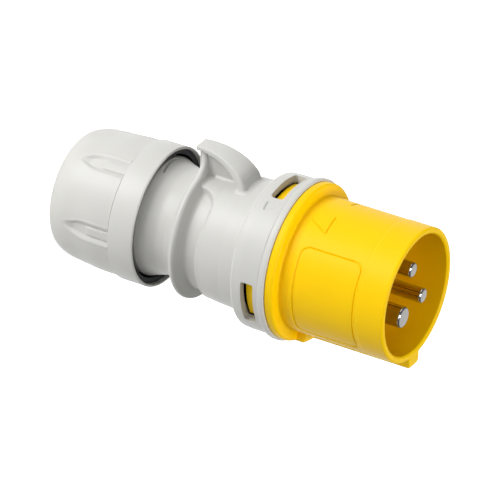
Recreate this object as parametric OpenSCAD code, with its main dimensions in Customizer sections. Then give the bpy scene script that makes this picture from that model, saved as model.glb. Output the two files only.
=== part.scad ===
/* [Shroud] */
// Outside diameter of the shroud that enters the connector
shroud_od = 43.9; // [42:0.1:46]
// Wall of the shroud
shroud_wall = 1.9; // [1.6:0.1:2.5]
// Length of the shroud in front of its flange
shroud_len = 37.4; // [32:0.1:44]
// Rounding of the shroud's rim
rim_round = 0.7; // [0.3:0.1:0.8]
// Chamfer inside the shroud's rim
rim_chamfer = 0.5; // [0.2:0.1:0.6]
// Fillet where the shroud runs into its flange
shroud_fillet = 0.6; // [0.4:0.1:2]
// How far the flange's edge lies inside the edge of the collar's lip
flange_inset = 0.75; // [0.3:0.05:1.2]
// Thickness of the flange
flange_t = 2.9; // [2.6:0.1:5]
// Rounding of the flange's front edge
flange_round = 1; // [0.5:0.1:1.6]
// Thickness of the floor that the contact pins pass through
floor_t = 3.6; // [2.5:0.1:5]
// How far the floor's front face lies in front of the flange's rear face
floor_rise = 2.4; // [1:0.1:3.4]
// Width of the key rib along the shroud
key_w = 6; // [4:0.1:8]
// Height of the key rib above the shroud
key_h = 3.7; // [2:0.1:3.8]
// Rounding of the key rib's edges
key_round = 1; // [0.4:0.1:1.5]
// Angle that the key's base block covers
key_base_angle = 42; // [30:1:60]
// Length of the key's base block in front of the flange
key_base_len = 3; // [2:0.1:10]

/* [Bayonet] */
// How far the insert's skirt lies inside the shroud's outside
skirt_inset = 0.25; // [0.1:0.05:0.6]
// Wall of the skirt
skirt_wall = 2; // [1.5:0.1:2.5]
// Length of the skirt behind the flange
skirt_len = 8.9; // [8:0.1:9.9]
// Height of a bayonet lug above the skirt
lug_h = 1.5; // [1:0.1:1.8]
// Length of a bayonet lug along the axis
lug_len = 3.6; // [3:0.1:4]
// Angle that a lug covers
lug_angle = 32; // [24:1:34]
// Angle between the middle lug and each outer one
lug_pitch = 104; // [100:1:110]
// How much wider than its lug a way through the ledge is, as an angle
way_margin = 4; // [2:0.5:6]
// Angle between a window and the way beside it
way_gap = 3; // [2:0.5:6]
// Running clearance between the insert and the housing
bayonet_gap = 0.1; // [0.05:0.01:0.15]

/* [Contacts] */
// Radius of the circle that the pins stand on
pin_circle = 8.7; // [8.4:0.1:9.2]
// Diameter of the line and neutral pins
pin_d = 5; // [4.5:0.1:5.5]
// Diameter of the earth pin
earth_d = 7; // [6.5:0.1:7.6]
// How far the line and neutral pins end below the rim
pin_below = 2; // [1:0.1:6]
// How far the earth pin ends below the rim
earth_below = 0.3; // [0.1:0.1:6]
// How much thicker a pin's root is than the pin, on each side
pin_root = 0.3; // [0.2:0.05:0.5]
// How much thicker a line or neutral terminal is than its pin's root, on each side
terminal_step = 1; // [0.7:0.1:1.4]
// How much thicker the earth terminal is than its pin's root, on each side
earth_terminal_step = 0.4; // [0.35:0.05:0.8]
// Length of the terminals
terminal_len = 16; // [14:0.5:18]
// Thickness of the carrier in front of the terminals
terminal_cover = 1; // [0.6:0.1:2]
// Wire hole in a line or neutral terminal
wire_d = 4.6; // [4:0.1:5]
// Wire hole in the earth terminal
earth_wire_d = 5.2; // [4.6:0.1:5.8]
// Depth of the wire holes
wire_depth = 12; // [10:0.5:13]
// How far the carrier reaches behind the terminals
carrier_back = 3; // [2:0.1:5]
// Thread diameter of the terminal screws
screw_d = 3.9; // [3:0.1:4.3]
// Distance of the terminal screws from the rear end of the terminals
screw_inset = 5; // [4:0.1:7]
// How far the terminal screws' heads lie inside the carrier's outside
screw_sink = 1.7; // [0.5:0.1:2.4]
// Diameter of the terminal screws' heads
screw_head_d = 4.8; // [4.4:0.1:5.4]
// Height of the terminal screws' heads
screw_head_h = 1.8; // [1.2:0.1:2.2]
// Thickness of the plates between the screws and the wires
plate_t = 0.8; // [0.5:0.1:1]
// Thread diameter of the carrier screws
carrier_screw_d = 3; // [2.5:0.1:3.5]
// Distance of the carrier screws from the carrier's outside
carrier_screw_inset = 4.8; // [4.2:0.1:5.4]
// Diameter of the carrier screws' heads
carrier_head_d = 5.4; // [5:0.1:6]
// Height of the carrier screws' heads
carrier_head_h = 2.2; // [1.6:0.1:3]
// Clearance of parts that slide into each other
fit = 0.1; // [0.05:0.01:0.15]

/* [Housing] */
// Wall of the collar outside the bayonet
collar_wall = 2.3; // [2:0.1:3]
// Length of the collar behind the lip
collar_len = 9.1; // [8.6:0.1:12]
// How far the lip stands proud of the collar
lip_step = 1; // [0.6:0.1:1.6]
// Length of the lip
lip_len = 2.2; // [1.8:0.1:3]
// Length of the flare behind the collar
flare_len = 7.9; // [6:0.1:12]
// Diameter of the body at its rear step
body_rear_od = 41.4; // [40:0.1:43]
// How much the body's radius grows towards the flare
body_taper = 0.6; // [0.2:0.1:1.2]
// Length of the body from the flare back to the step
body_len = 9; // [6:0.1:16]
// Wall of the body
body_wall = 1.8; // [1.5:0.1:2.2]
// Length of the groove between the body's step and the guard disc
groove_len = 6.6; // [6:0.1:10]
// Depth of the groove below the body
groove_depth = 2; // [1:0.1:2.2]
// How far the guard disc stands proud of the body
disc_proud = 2.2; // [1.4:0.1:3]
// Thickness of the guard disc at its rim
disc_t = 2.2; // [1.6:0.1:3]
// Fillet behind the guard disc, at the neck
disc_fillet = 3; // [1:0.1:3.4]
// Length of the open neck between the guard disc and the nut
neck_show = 12.8; // [10:0.1:16]
// Bore of the neck
neck_bore = 29.2; // [28:0.1:30]
// Wall of the neck at its waist
neck_wall = 2.9; // [2:0.1:3.2]
// Height of the neck's thread above the waist
thread_h = 1.8; // [1.4:0.1:2.2]
// Length of the neck's thread
thread_len = 21.2; // [18:0.1:24]
// Length of the thread that shows in front of the nut
thread_show = 0.6; // [0.2:0.1:2]
// Angle that a window in the collar covers
window_angle = 35; // [34:1:38]
// Length of a window along the axis
window_len = 4; // [3.8:0.1:4.6]
// Distance from the collar's front face to the windows
window_front = 4; // [3.4:0.1:4.6]
// Width of the cuts that key the clamp cage in the neck, as an angle
keyway_angle = 12; // [8:0.5:16]

/* [Hook] */
// Height of the hook's top above the guard disc's rim
hook_rise = 8.1; // [7:0.1:12]
// Thickness of the hook's band at its top
band_t = 1.7; // [1.2:0.1:2.5]
// Thickness of the hook's band at its foot
band_foot_t = 3; // [1.8:0.1:4]
// Width of the hook at its rear tip
tip_w = 6; // [4:0.1:8]
// Width of the hook at its foot
foot_w = 11.4; // [9:0.1:14]
// How far the tip leans back behind the guard disc
tip_lean = 1.9; // [0:0.1:3]
// How far the hook's foot runs on past the start of the flare
foot_past = 1; // [0:0.1:3]
// Thickness of the web below the band
web_t = 2.4; // [1.5:0.1:4]
// Width of the saddle at the guard disc
saddle_w = 12.4; // [8:0.1:16]
// How much the saddle widens on each side before it meets the body
saddle_spread = 8.4; // [5:0.1:9]

/* [Gland nut] */
// Length of the gland nut
nut_len = 33.6; // [31:0.1:38]
// Thickness of the nut's end wall
nut_end_wall = 3; // [2:0.1:4]
// Length of the nut's rounded end
nut_dome_len = 10; // [6:0.1:12]
// How much the nut's radius grows over the rounded end
nut_dome_w = 4.2; // [3:0.1:5]
// How much the nut's radius grows from the rounded end to the ring
nut_taper = 0.8; // [0.4:0.1:1]
// How far the ring stands proud of the nut
ring_step = 0.7; // [0.4:0.1:0.8]
// Length of the ring round the nut's mouth
ring_len = 9; // [7:0.1:10]
// Wall of the ring round the mouth
ring_wall = 0.9; // [0.8:0.1:1.5]
// Distance from the ring's rear edge to the bottom of the mouth
mouth_back = 1.4; // [1:0.1:3]
// Gap between the mouth's wall and the neck's thread
mouth_gap = 3.1; // [2.6:0.1:4]
// Diameter of the cable hole
cable_d = 17; // [14:0.1:19]
// Number of grip pockets
pocket_count = 6; // [4:1:8]
// Depth of a grip pocket
pocket_depth = 1.2; // [0.8:0.1:1.4]
// Width of a grip pocket
pocket_w = 6.8; // [5:0.1:8]
// Length of a grip pocket
pocket_len = 18; // [14:0.1:20]
// Length of a pocket's pointed end
pocket_tip_len = 6; // [4:0.1:9]
// Width of the pad in a pocket
pad_w = 3.6; // [2:0.1:4]
// Length of the pad in a pocket
pad_len = 8.4; // [5:0.1:11]
// Height of the pad above the pocket's floor
pad_h = 0.66; // [0.3:0.01:0.75]

/* [Gland parts] */
// Wall of the sealing sleeve in the nut's mouth
sleeve_wall = 1.7; // [1:0.1:2]
// How far the sealing sleeve lies inside the nut's mouth
sleeve_recess = 1.4; // [0.5:0.1:3]
// Thickness of the thrust washer
washer_t = 1; // [0.8:0.1:1.6]
// Thickness of the clamp cage's flange
cage_flange_t = 2.6; // [2:0.1:3.4]
// Length of the clamp cage's sleeve in the neck
cage_sleeve_len = 12; // [8:0.5:16]
// Wall of the clamp cage
cage_wall = 2; // [1.5:0.1:2.4]
// Number of fingers on the clamp cage
finger_count = 8; // [6:1:10]
// Width of the slots between the fingers
finger_slot = 1.2; // [0.8:0.1:2]
// How much the nut's taper presses the fingers inwards
finger_taper = 2.6; // [2:0.1:2.8]
// Inside diameter of the rubber cable seal
seal_bore = 16.4; // [14:0.1:17]

/* [Hidden] */
$fn = 96;
housing_grey = [0.85, 0.85, 0.83];
shroud_yellow = [1, 0.83, 0.05];
nickel = [0.78, 0.77, 0.74];
dark_grey = [0.25, 0.26, 0.27];
black = [0.1, 0.1, 0.11];
zinc = [0.7, 0.72, 0.75];
// Small overlap that lets a cut pass through a surface, a larger one, and one past everything
eps = 0.01;
past = 1;
far = 60;
// Small bevel of moulded and turned edges
bevel = 0.4;
// Seat that keeps two still pieces from sharing a face
seat = 0.05;

// Radii that follow from the shroud: the insert, then the collar round it
shroud_r = shroud_od / 2;
well_r = shroud_r - shroud_wall;
skirt_r = shroud_r - skirt_inset;
skirt_bore_r = skirt_r - skirt_wall;
lug_r = skirt_r + lug_h;
ledge_r = skirt_r + bayonet_gap;
collar_bore_r = lug_r + bayonet_gap;
collar_r = collar_bore_r + collar_wall;
lip_r = collar_r + lip_step;
flange_r = lip_r - flange_inset;

// Radii that follow from the body: the flare, the groove and the guard disc
body_r = body_rear_od / 2;
flare_r = body_r + body_taper;
body_bore_r = body_r - body_wall;
groove_r = body_r - groove_depth;
groove_bore_r = groove_r - body_wall;
disc_r = body_r + disc_proud;

// Radii that follow from the neck's bore: the thread, then the nut round it
bore_r = neck_bore / 2;
neck_r = bore_r + neck_wall;
thread_r = neck_r + thread_h;
mouth_r = thread_r + mouth_gap;
ring_r = mouth_r + ring_wall;
nut_r = ring_r - ring_step;
mid_r = nut_r - nut_taper;
end_r = mid_r - nut_dome_w;

// Stations along the axis, from the nut's flat end up to the rim
z_ring = nut_len - ring_len;
z_mouth = z_ring + mouth_back;
z_thread = nut_len + thread_show;
z_neck_end = z_thread - thread_len;
z_disc = nut_len + neck_show;
z_groove = z_disc + disc_t;
z_step = z_groove + groove_len;
z_flare = z_step + body_len;
z_collar = z_flare + flare_len;
z_lip = z_collar + collar_len;
z_face = z_lip + lip_len;
z_flange = z_face + bayonet_gap;
z_skirt = z_flange - skirt_len;
z_shroud = z_flange + flange_t;
z_rim = z_shroud + shroud_len;
z_floor = z_flange + floor_rise;
z_floor_back = z_floor - floor_t;

// The bayonet: the lugs bear on the ledge in front of the windows
window_angles = [0, lug_pitch, -lug_pitch];
z_window_front = z_face - window_front;
z_window = z_window_front - window_len;
z_ledge = z_window_front - 0.2;
z_lug_front = z_ledge - bayonet_gap;
z_collar_bore = z_skirt - 0.4;

// The face seal's groove
seal_section_r = 0.55;
seal_ring_r = (lip_r + collar_bore_r) / 2 - 0.2;

// The gland's stack, from the nut's shoulder up to the neck's end
z_cage = z_neck_end - cage_flange_t - fit;
z_washer = z_cage - washer_t - fit;
z_shoulder = z_washer - fit;
z_finger = nut_end_wall + 0.6;
finger_r = bore_r + 1.2;
finger_tip_r = finger_r - finger_taper;
cage_r = bore_r - fit;
cage_bore_r = cage_r - cage_wall;
keyway_angles = [0, 120, 240];

function circle_point(cx, cz, r, a) = [cx + r * cos(a), cz + r * sin(a)];
function arc(cx, cz, r, a0, a1, n = 6) = [for (i = [0:n]) circle_point(cx, cz, r, a0 + (a1 - a0) * i / n)];
function oval(cx, cz, rx, rz, a0, a1, n = 8) =
    [for (i = [0:n]) let (a = a0 + (a1 - a0) * i / n) [cx + rx * cos(a), cz + rz * sin(a)]];
// A row of [place, half width] points, closed by its mirror image
function both_sides(side) = concat(side, [for (i = [len(side) - 1:-1:0]) [side[i][0], -side[i][1]]]);

// Part of a ring between two radii, two heights and two angles
module sector(r0, r1, z0, z1, middle, angle) {
    rotate([0, 0, middle - angle / 2])
        rotate_extrude(angle = angle)
            translate([r0, z0])
                square([r1 - r0, z1 - z0]);
}

module tube(r0, r1, z0, z1) {
    difference() {
        translate([0, 0, z0]) cylinder(r = r1, h = z1 - z0);
        translate([0, 0, z0 - eps]) cylinder(r = r0, h = z1 - z0 + 2 * eps);
    }
}

// A [height, station] outline, as wide as w across the hook
module seen_from_side(w) {
    rotate([90, 0, 0]) translate([0, 0, -w / 2]) linear_extrude(w) children();
}

// A [station, half width] outline seen from above, cut through the +X side of the axis
module seen_from_above() {
    translate([far, 0, 0]) rotate([0, -90, 0]) linear_extrude(far) children();
}

// The housing's outline in four stretches
function neck_profile() = concat(
    [[0, z_neck_end], [thread_r - 2 * bevel, z_neck_end], [thread_r, z_neck_end + 2 * bevel]],
    [[thread_r, z_thread - bevel], [thread_r - 0.3, z_thread]],
    arc(neck_r + 2.2, z_thread + 2.9, 2.2, 240, 180, 4),
    arc(neck_r + disc_fillet, z_disc - disc_fillet - 0.6, disc_fillet, 180, 100, 6)
);

function disc_profile(hollow = 1.2, cone = 65) = concat(
    arc(disc_r - disc_t / 2, z_disc + disc_t / 2, disc_t / 2, -75, cone, 7),
    arc(groove_r + hollow, z_groove + 2.3, hollow, 180 + cone, 180, 5)
);

function body_profile(step_round = 1.1, foot_round = 0.5, rise = 0.6, n = 4) = concat(
    arc(groove_r + foot_round, z_step - step_round - foot_round, foot_round, 180, 90, 2),
    arc(body_r - step_round, z_step, step_round, -70, 0, 5),
    [for (i = [0:n]) [body_r + body_taper * sin(90 * i / n), z_step + rise + (body_len - rise) * i / n]]
);

function collar_profile(hollow = 3.5, shoulder = 1.5, slope = 40) = concat(
    arc(flare_r + hollow, z_flare, hollow, 172, 180 - slope, 5),
    arc(collar_r - 0.7 - shoulder, z_collar - 1.75, shoulder, -slope, -8, 4),
    [[collar_r, z_collar + 2.4]],
    [[collar_r, z_lip - bevel], [collar_r - 0.3, z_lip - bevel / 2], [collar_r - 0.3, z_lip + 0.1]],
    arc(lip_r - 0.7, z_lip + 0.8, 0.7, -70, 0, 4),
    arc(lip_r - 0.5, z_face - 0.5, 0.5, 0, 90, 4)
);

module housing_outside() {
    rotate_extrude()
        polygon(concat(neck_profile(), disc_profile(), body_profile(), collar_profile(), [[0, z_face]]));
}

// Hollow of the housing: neck bore, wiring room and the collar's seat for the insert
module housing_inside() {
    rotate_extrude()
        polygon([
            [0, z_neck_end - eps], [bore_r, z_neck_end - eps], [bore_r, z_disc + 1],
            [groove_bore_r, z_groove + 1.6], [groove_bore_r, z_step - 1.6],
            [body_bore_r, z_step + 0.4], [body_bore_r, z_collar - 2.4],
            [skirt_r - 0.2, z_collar_bore], [collar_bore_r, z_collar_bore],
            [collar_bore_r, z_ledge], [ledge_r, z_ledge],
            [ledge_r, z_face + eps], [0, z_face + eps]
        ]);
}

// The saddle carries the body's surface back to the guard disc below the hook, and widens in a quarter oval
module saddle() {
    back = z_groove - 0.5;
    front = z_step + 0.9;
    side = oval(back, saddle_w / 2 + saddle_spread, front - back, saddle_spread, -90, 0, 14);
    intersection() {
        tube(groove_bore_r + body_wall / 2, body_r - 0.06, back, front + 1);
        seen_from_above() polygon(both_sides(side));
    }
}

// The hook follows an oval from its top, above the guard disc, to its foot at the flare
hook_h = disc_r + hook_rise;
hook_base_h = groove_r - 1.7;
hook_top = hook_h - hook_base_h;
hook_axis_z = z_disc + 0.9;
z_foot = z_flare + foot_past;
hook_reach = z_foot - hook_axis_z;
z_tip = z_disc - tip_lean;

// Outline of the hook seen from above, from its tip to its foot
module hook_plan() {
    n = 8;
    length = z_foot - z_tip + 1;
    side = [for (i = [0:n])
        [z_foot - length * (1 - i / n), (tip_w + (foot_w - tip_w) * pow(i / n, 1.5)) / 2]];
    seen_from_above() polygon(both_sides(side));
}

module hook_band() {
    end_angle = 78;
    n = 14;
    outer = oval(hook_base_h, hook_axis_z, hook_top, hook_reach, 0, end_angle, n);
    inner = oval(hook_base_h, hook_axis_z, hook_top - band_t, hook_reach - band_foot_t, end_angle, 0, n);
    intersection() {
        seen_from_side(foot_w + 2)
            polygon(concat([[hook_h - 0.5, z_tip], [hook_h - 0.1, z_tip + 0.5]], outer, inner,
                [[hook_h - band_t + 0.2, z_tip]]));
        hook_plan();
    }
}

// Raised part of the guard disc that carries the hook's tip
module hook_tab() {
    foot_h = disc_r - 2.8;
    root_h = foot_h - 3;
    top = hook_h - band_t / 2;
    rim_half = sqrt(disc_r * disc_r - foot_h * foot_h);
    n = 10;
    side = [for (i = [0:n])
        [foot_h + (top - foot_h) * i / n, tip_w / 2 + (rim_half - tip_w / 2) * pow(1 - i / n, 2)]];
    lean = [for (i = [0:n]) [foot_h + (top - foot_h) * i / n, tip_lean * pow(i / n, 1.6)]];
    intersection() {
        seen_from_side(4 * tip_w)
            polygon(concat([[root_h, z_disc], [root_h, z_groove]],
                [for (p = lean) [p[0], z_groove - p[1]]],
                [for (i = [n:-1:0]) [lean[i][0], z_disc - lean[i][1]]]));
        translate([0, 0, z_tip - 1])
            linear_extrude(disc_t + tip_lean + 2)
                polygon(both_sides(concat([[root_h, side[0][1]]], side)));
    }
}

module hook_web() {
    root_h = hook_base_h + 2;
    seen_from_side(web_t)
        polygon(concat([[root_h, z_disc + 0.5], [hook_h - band_t - 1, z_disc - tip_lean + 1.2]],
            oval(hook_base_h, hook_axis_z, hook_top - band_t / 2, hook_reach - band_foot_t / 2, 12, 78, 12),
            [[root_h, z_foot - 2]]));
}

module windows() {
    for (a = window_angles)
        sector(ledge_r - past, lip_r + past, z_window, z_window_front, a, window_angle);
}

// Gaps in the ledge that let the lugs in when the insert is turned back
module lug_ways() {
    way = lug_angle + way_margin;
    turn_back = window_angle / 2 + way / 2 + way_gap;
    for (a = window_angles)
        sector(ledge_r - 0.3, collar_bore_r + 0.2, z_lug_front - 0.3, z_face + past, a - turn_back, way);
}

// Small raised triangle beside the middle window, which points forward
module index_mark() {
    half = 1.3;
    tip = 1.9;
    back = 1.7;
    sink = 1;
    proud = 0.25;
    rotate([0, 0, window_angle / 2 + 9])
        translate([collar_r - sink, 0, z_window + window_len / 2 - 0.2])
            rotate([0, 90, 0])
                linear_extrude(sink + proud)
                    polygon([[back, -half], [back, half], [-tip, 0]]);
}

module keyways() {
    for (a = keyway_angles)
        sector(bore_r - 0.5, bore_r + 1, z_neck_end - eps, z_neck_end + cage_sleeve_len + 1, a, keyway_angle);
}

module housing() {
    seal_in_r = seal_ring_r - seal_section_r - fit;
    seal_out_r = seal_ring_r + seal_section_r + fit;
    color(housing_grey)
        difference() {
            union() {
                housing_outside();
                saddle();
                difference() {
                    union() {
                        hook_band();
                        hook_tab();
                        hook_web();
                    }
                    translate([0, 0, z_disc - 2]) cylinder(r = groove_bore_r + body_wall / 2, h = far);
                }
                index_mark();
            }
            housing_inside();
            windows();
            lug_ways();
            keyways();
            tube(seal_in_r, seal_out_r, z_face - 2 * seal_section_r, z_face + past);
        }
}

module face_seal() {
    color(black)
        rotate_extrude()
            translate([seal_ring_r, z_face - seal_section_r])
                circle(r = seal_section_r, $fn = 24);
}

// The pins by number: 0 line, 1 neutral, 2 earth
function pin_angle(i) = [0, -120, 120][i];
function pin_diameter(i) = i == 2 ? earth_d : pin_d;
function root_diameter(i) = pin_diameter(i) + 2 * pin_root;
function terminal_diameter(i) = root_diameter(i) + 2 * (i == 2 ? earth_terminal_step : terminal_step);
function wire_diameter(i) = i == 2 ? earth_wire_d : wire_d;
function pin_tip(i) = z_rim - (i == 2 ? earth_below : pin_below);

module at_pin(i) {
    rotate([0, 0, pin_angle(i)]) translate([pin_circle, 0, 0]) children();
}

module shroud_outside() {
    rotate_extrude()
        polygon(concat(
            [[0, z_skirt], [skirt_r - bevel, z_skirt], [skirt_r, z_skirt + bevel], [skirt_r, z_flange]],
            [[flange_r - bevel, z_flange], [flange_r, z_flange + bevel]],
            arc(flange_r - flange_round, z_shroud - flange_round, flange_round, 0, 80, 6),
            arc(shroud_r + shroud_fillet, z_shroud + shroud_fillet - 0.2, shroud_fillet, 262, 180, 5),
            arc(shroud_r - rim_round, z_rim - rim_round, rim_round, 0, 90, 4),
            [[0, z_rim]]
        ));
}

// Key rib with rounded edges, which runs from the flange to the rim
module key_rib() {
    top = shroud_r + key_h;
    root = shroud_r - 1.2;
    half = key_w / 2;
    length = shroud_len + past;
    intersection() {
        translate([0, 0, z_shroud - past])
            union() {
                translate([-top, key_round - half, 0]) cube([top - root, key_w - 2 * key_round, length]);
                translate([key_round - top, -half, 0]) cube([top - root - key_round, key_w, length]);
                for (s = [-1, 1])
                    translate([key_round - top, s * (half - key_round), 0])
                        cylinder(r = key_round, h = length, $fn = 32);
            }
        translate([0, 0, z_shroud - past]) cylinder(r = top, h = length);
    }
}

module shroud() {
    color(shroud_yellow)
        difference() {
            union() {
                shroud_outside();
                key_rib();
                sector(shroud_r - 0.6, shroud_r + key_h, z_shroud - flange_round, z_shroud + key_base_len,
                    180, key_base_angle);
                for (a = window_angles)
                    sector(skirt_r - 0.6, lug_r, z_lug_front - lug_len, z_lug_front, a, lug_angle);
            }
            translate([0, 0, z_floor]) cylinder(r = well_r, h = far);
            translate([0, 0, z_rim - rim_chamfer])
                cylinder(r1 = well_r, r2 = well_r + rim_chamfer + 0.1, h = rim_chamfer + 0.1);
            translate([0, 0, z_floor_back - far]) cylinder(r = skirt_bore_r, h = far);
            for (i = [0:2])
                at_pin(i)
                    translate([0, 0, z_floor_back - past])
                        cylinder(d = root_diameter(i) + fit, h = floor_t + 2);
            carrier_screw_places()
                translate([0, 0, z_floor_back - past]) cylinder(d = carrier_screw_d, h = floor_t);
        }
}

// The carrier fits the skirt in front and the housing's body behind
carrier_r = skirt_bore_r - fit;
carrier_back_r = min(carrier_r, body_bore_r - fit);
z_carrier_front = z_floor_back - fit;
z_terminal = z_carrier_front - terminal_cover - terminal_len;
z_carrier = z_terminal - carrier_back;
z_screw = z_terminal + screw_inset;
carrier_screw_circle = carrier_back_r - carrier_screw_inset;

module carrier_screw_places() {
    for (a = [60, -60])
        rotate([0, 0, a]) translate([carrier_screw_circle, 0, 0]) children();
}

module contact_carrier() {
    z_waist = z_skirt + 1.6;
    room = past + carrier_back + terminal_len + fit;
    color(dark_grey)
        difference() {
            union() {
                translate([0, 0, z_carrier]) cylinder(r = carrier_back_r, h = z_waist - z_carrier);
                translate([0, 0, z_waist]) cylinder(r = carrier_r, h = z_carrier_front - z_waist);
            }
            for (i = [0:2])
                at_pin(i) {
                    translate([0, 0, z_carrier - past])
                        cylinder(d = terminal_diameter(i) + 2 * fit, h = room);
                    translate([0, 0, z_terminal]) cylinder(d = root_diameter(i) + fit, h = far);
                    // way in for the screwdriver
                    translate([0, 0, z_screw])
                        rotate([0, 90, 0])
                            cylinder(d = screw_head_d + 1.2, h = far);
                }
            carrier_screw_places()
                translate([0, 0, z_carrier - past]) {
                    cylinder(d = carrier_screw_d + 0.3, h = far);
                    cylinder(d = carrier_head_d + bevel, h = carrier_head_h + 1.6);
                }
        }
}

// A pin with a domed tip, turned in one piece with the terminal behind it
module contact_pin(i) {
    r = pin_diameter(i) / 2;
    root_r = root_diameter(i) / 2;
    foot_r = terminal_diameter(i) / 2;
    edge = 0.3;
    dome = 0.55 * r;
    tip = pin_tip(i);
    z_end = z_terminal + terminal_len;
    z_root = z_floor + 0.2;
    at_pin(i)
        color(nickel)
            difference() {
                rotate_extrude()
                    polygon(concat(
                        [[0, z_terminal], [foot_r - edge, z_terminal], [foot_r, z_terminal + edge]],
                        [[foot_r, z_end - edge], [foot_r - edge, z_end]],
                        [[root_r, z_end], [root_r, z_root], [r, z_root], [r, tip - 1.13 * dome]],
                        oval(0, tip - dome, 0.9 * r, dome, 10, 82, 7),
                        [[0, tip]]
                    ));
                translate([0, 0, z_terminal - past]) cylinder(d = wire_diameter(i), h = wire_depth + past);
                translate([0, 0, z_screw]) rotate([0, 90, 0]) cylinder(d = screw_d, h = far);
            }
}

module pin_line() { contact_pin(0); }
module pin_neutral() { contact_pin(1); }
module pin_earth() { contact_pin(2); }

// The plate that spreads a screw's pressure lies in the wire hole, as high as its width lets it
function plate_width(i) = 0.55 * wire_diameter(i);
function plate_top(i) = sqrt(pow(wire_diameter(i), 2) - pow(plate_width(i), 2)) / 2 - seat;

module wire_plate(i) {
    end_gap = 1.4;
    color(zinc)
        at_pin(i)
            translate([plate_top(i) - plate_t, -plate_width(i) / 2, z_terminal + end_gap])
                cube([plate_t, plate_width(i), wire_depth - 2 * end_gap]);
}

module wire_plate_line() { wire_plate(0); }
module wire_plate_neutral() { wire_plate(1); }
module wire_plate_earth() { wire_plate(2); }

module slotted_screw(d, length, head_d, head_h) {
    slot_w = 0.8;
    slot_depth = 0.9;
    color(zinc)
        difference() {
            union() {
                cylinder(d = d, h = length);
                translate([0, 0, length]) cylinder(d = head_d, h = head_h);
            }
            translate([-head_d, -slot_w / 2, length + head_h - slot_depth])
                cube([2 * head_d, slot_w, head_h]);
        }
}

// Slotted screw with its tip on the wire plate and its head inside the carrier
module terminal_screw(i) {
    length = carrier_back_r - screw_sink - screw_head_h - pin_circle - plate_top(i);
    at_pin(i)
        translate([plate_top(i), 0, z_screw])
            rotate([0, 90, 0])
                slotted_screw(screw_d, length, screw_head_d, screw_head_h);
}

module terminal_screws() {
    for (i = [0:1]) terminal_screw(i);
}

module earth_screw() { terminal_screw(2); }

module carrier_screws() {
    z_end = z_floor_back + floor_t - 1.4;
    z_head = z_carrier + carrier_head_h + 0.6;
    carrier_screw_places()
        translate([0, 0, z_end])
            mirror([0, 0, 1])
                slotted_screw(carrier_screw_d, z_end - z_head, carrier_head_d, carrier_head_h);
}

// One leaf-shaped grip pocket with its raised pad, as the body to be cut away
module pocket() {
    n = 8;
    half = pocket_w / 2;
    z_end = z_ring - 0.3;
    z_tip = z_ring - 0.5 - pocket_len;
    side = concat(
        [for (i = [0:n]) [z_tip + pocket_tip_len * i / n, half * sin(90 * i / n)]],
        [[z_end, 0.97 * half]]
    );
    // the pocket's edge is shallow, and its floor narrower
    lip = 0.45;
    floor_side = [for (p = side) [p[0], 0.72 * p[1]]];
    floor_r = nut_r - pocket_depth;
    clear = 2;
    difference() {
        union() {
            translate([nut_r + clear, 0, 0])
                rotate([0, -90, 0])
                    linear_extrude(clear + lip) polygon(both_sides(side));
            translate([nut_r + clear, 0, 0])
                rotate([0, -90, 0])
                    linear_extrude(clear + pocket_depth) polygon(both_sides(floor_side));
        }
        translate([floor_r - past, -pad_w / 2, z_ring - pad_len]) cube([past + pad_h, pad_w, pad_len + past]);
    }
}

module nut_outside() {
    edge = min(0.6, ring_wall * 0.7);
    rotate_extrude()
        polygon(concat(
            [[0, 0]],
            oval(end_r, nut_dome_len, nut_dome_w, nut_dome_len, -90, 0, 9),
            [[mid_r + nut_taper * 0.6, nut_dome_len + 5], [nut_r, z_ring - 4], [nut_r, z_ring - 0.5]],
            [[nut_r - bevel, z_ring - bevel], [nut_r - bevel, z_ring], [ring_r - bevel, z_ring]],
            [[ring_r, z_ring + bevel]],
            arc(ring_r - edge, nut_len - edge, edge, 0, 90, 4),
            [[0, nut_len]]
        ));
}

// Hollow of the nut: cable hole, taper that closes the cage's fingers, thread and mouth
module nut_inside() {
    nut_thread_r = thread_r + fit;
    taper_r = finger_r + fit;
    tip_r = finger_tip_r + fit;
    rotate_extrude()
        polygon([
            [0, -eps], [cable_d / 2, -eps], [cable_d / 2, nut_end_wall], [tip_r, nut_end_wall],
            [tip_r, z_finger], [taper_r, z_shoulder - 1], [taper_r, z_shoulder],
            [nut_thread_r, z_shoulder], [nut_thread_r, z_mouth], [mouth_r, z_mouth],
            [mouth_r, nut_len - bevel], [mouth_r + 0.15, nut_len + eps], [0, nut_len + eps]
        ]);
}

module gland_nut() {
    color(housing_grey)
        difference() {
            nut_outside();
            nut_inside();
            for (i = [0:pocket_count - 1])
                rotate([0, 0, 360 / pocket_count * (i + 0.5)]) pocket();
        }
}

module nut_sleeve() {
    outer_r = mouth_r - seat;
    color(black)
        tube(outer_r - sleeve_wall, outer_r, z_mouth + seat, nut_len - sleeve_recess);
}

module thrust_washer() {
    color(black)
        tube(finger_r + 0.3, thread_r - fit, z_washer, z_washer + washer_t);
}

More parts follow.
